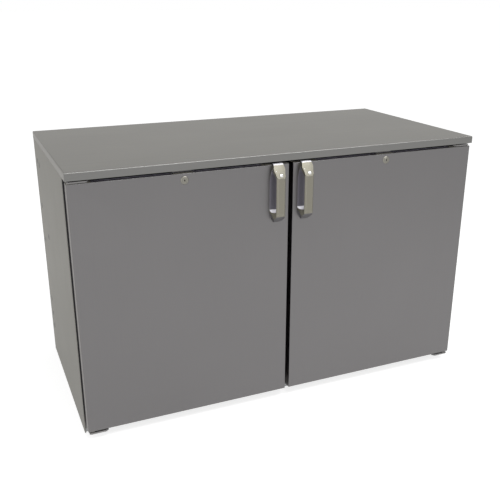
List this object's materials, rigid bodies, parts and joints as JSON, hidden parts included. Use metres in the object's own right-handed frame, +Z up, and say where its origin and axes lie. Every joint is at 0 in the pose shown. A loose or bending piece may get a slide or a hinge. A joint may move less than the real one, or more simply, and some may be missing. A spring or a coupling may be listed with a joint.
{
  "type": "back bar cooler",
  "caption": "Low stainless steel back bar cooler with solid hinged doors, hooked pull handles, cam locks and wire shelves, for a remote compressor.",
  "frame": {"origin": "on the floor, under the middle of the space that the cooler and its handles take up", "axes": "+Z up; -Y is the front with the doors; +X is to the right for someone who faces the doors"},
  "size_m": [1.2196, 0.6386, 0.762],
  "materials": {
    "satin_stainless": "satin",
    "galvanised_sheet": "satin",
    "liner_aluminium": "satin",
    "coated_liner": "satin",
    "dark_plastic": "matte",
    "gasket_rubber": "matte",
    "foam": "matte",
    "cast_metal": "satin",
    "bright_screw": "polished",
    "plated_steel": "satin",
    "lock_metal": "satin",
    "grey_plastic": "matte",
    "white_plastic": "satin",
    "nylon": "satin",
    "fin_aluminium": "satin",
    "black_plastic": "matte",
    "coated_wire": "gloss"
  },
  "bodies": {
    "cabinet": {"worktop": "satin_stainless", "left_side_panel": "satin_stainless", "right_side_panel": "satin_stainless", "back_panel": "galvanised_sheet", "base_pan": "galvanised_sheet", "leg_sockets": "plated_steel", "sill_rail": "satin_stainless", "header_rail": "dark_plastic", "jamb_strips": "dark_plastic", "center_mullion": "dark_plastic", "liner_side_walls": "liner_aluminium", "liner_back_wall": "liner_aluminium", "liner_floor": "satin_stainless", "liner_ceiling": "liner_aluminium", "cabinet_insulation": "foam", "line_hole_plugs": "grey_plastic", "hinge_brackets": "plated_steel", "lock_strikes": "plated_steel", "casing_screws": "bright_screw", "shelf_pilasters": "plated_steel", "shelf_clips": "plated_steel", "evaporator_housing": "liner_aluminium", "evaporator_coil": "fin_aluminium", "drain_pan": "liner_aluminium", "fan_motors": "plated_steel", "fan_guards": "black_plastic", "thermostat_body": "white_plastic", "light_bar": "white_plastic", "left_lower_shelf": "coated_wire", "left_upper_shelf": "coated_wire", "right_lower_shelf": "coated_wire", "right_upper_shelf": "coated_wire"},
    "left_door": {"left_door_pan": "satin_stainless", "left_door_plates": "plated_steel", "left_door_bushes": "nylon", "left_door_frame": "dark_plastic", "left_door_gasket": "gasket_rubber", "left_door_inner_panel": "coated_liner", "left_door_insulation": "foam", "left_lock_cylinder": "lock_metal", "left_handle": "cast_metal", "left_handle_screws": "bright_screw"},
    "left_lock": {"left_lock_plug": "lock_metal", "left_lock_cam": "plated_steel"},
    "left_fan": {"left_fan_blade": "black_plastic"},
    "right_door": {"right_door_pan": "satin_stainless", "right_door_plates": "plated_steel", "right_door_bushes": "nylon", "right_door_frame": "dark_plastic", "right_door_gasket": "gasket_rubber", "right_door_inner_panel": "coated_liner", "right_door_insulation": "foam", "right_lock_cylinder": "lock_metal", "right_handle": "cast_metal", "right_handle_screws": "bright_screw"},
    "right_lock": {"right_lock_plug": "lock_metal", "right_lock_cam": "plated_steel"},
    "right_fan": {"right_fan_blade": "black_plastic"},
    "thermostat": {"thermostat_knob": "grey_plastic"},
    "switch": {"light_switch": "black_plastic"}
  },
  "joints": [
    {"name": "left_door_hinge", "type": "hinge", "parent": "cabinet", "child": "left_door", "pos_m": [-0.5935, -0.275, 0.38], "axis": [0, 0, -1], "range_deg": [0, 110]},
    {"name": "left_lock_turn", "type": "hinge", "parent": "left_door", "child": "left_lock", "pos_m": [-0.3062, -0.2735, 0.714], "axis": [0, -1, 0], "range_deg": [0, 90]},
    {"name": "left_fan_spin", "type": "hinge", "parent": "cabinet", "child": "left_fan", "pos_m": [-0.125, 0.177, 0.638], "axis": [0, -1, 0], "continuous": true},
    {"name": "right_door_hinge", "type": "hinge", "parent": "cabinet", "child": "right_door", "pos_m": [0.5935, -0.275, 0.38], "axis": [0, 0, 1], "range_deg": [0, 110]},
    {"name": "right_lock_turn", "type": "hinge", "parent": "right_door", "child": "right_lock", "pos_m": [0.3062, -0.2735, 0.714], "axis": [0, 1, 0], "range_deg": [0, 90]},
    {"name": "right_fan_spin", "type": "hinge", "parent": "cabinet", "child": "right_fan", "pos_m": [0.125, 0.177, 0.638], "axis": [0, -1, 0], "continuous": true},
    {"name": "thermostat_turn", "type": "hinge", "parent": "cabinet", "child": "thermostat", "pos_m": [0, 0.135, 0.638], "axis": [0, 1, 0], "range_deg": [-135, 135]},
    {"name": "light_switch_rock", "type": "hinge", "parent": "cabinet", "child": "switch", "pos_m": [-0.405, -0.194, 0.689], "axis": [1, 0, 0], "range_deg": [-8, 8]}
  ]
}
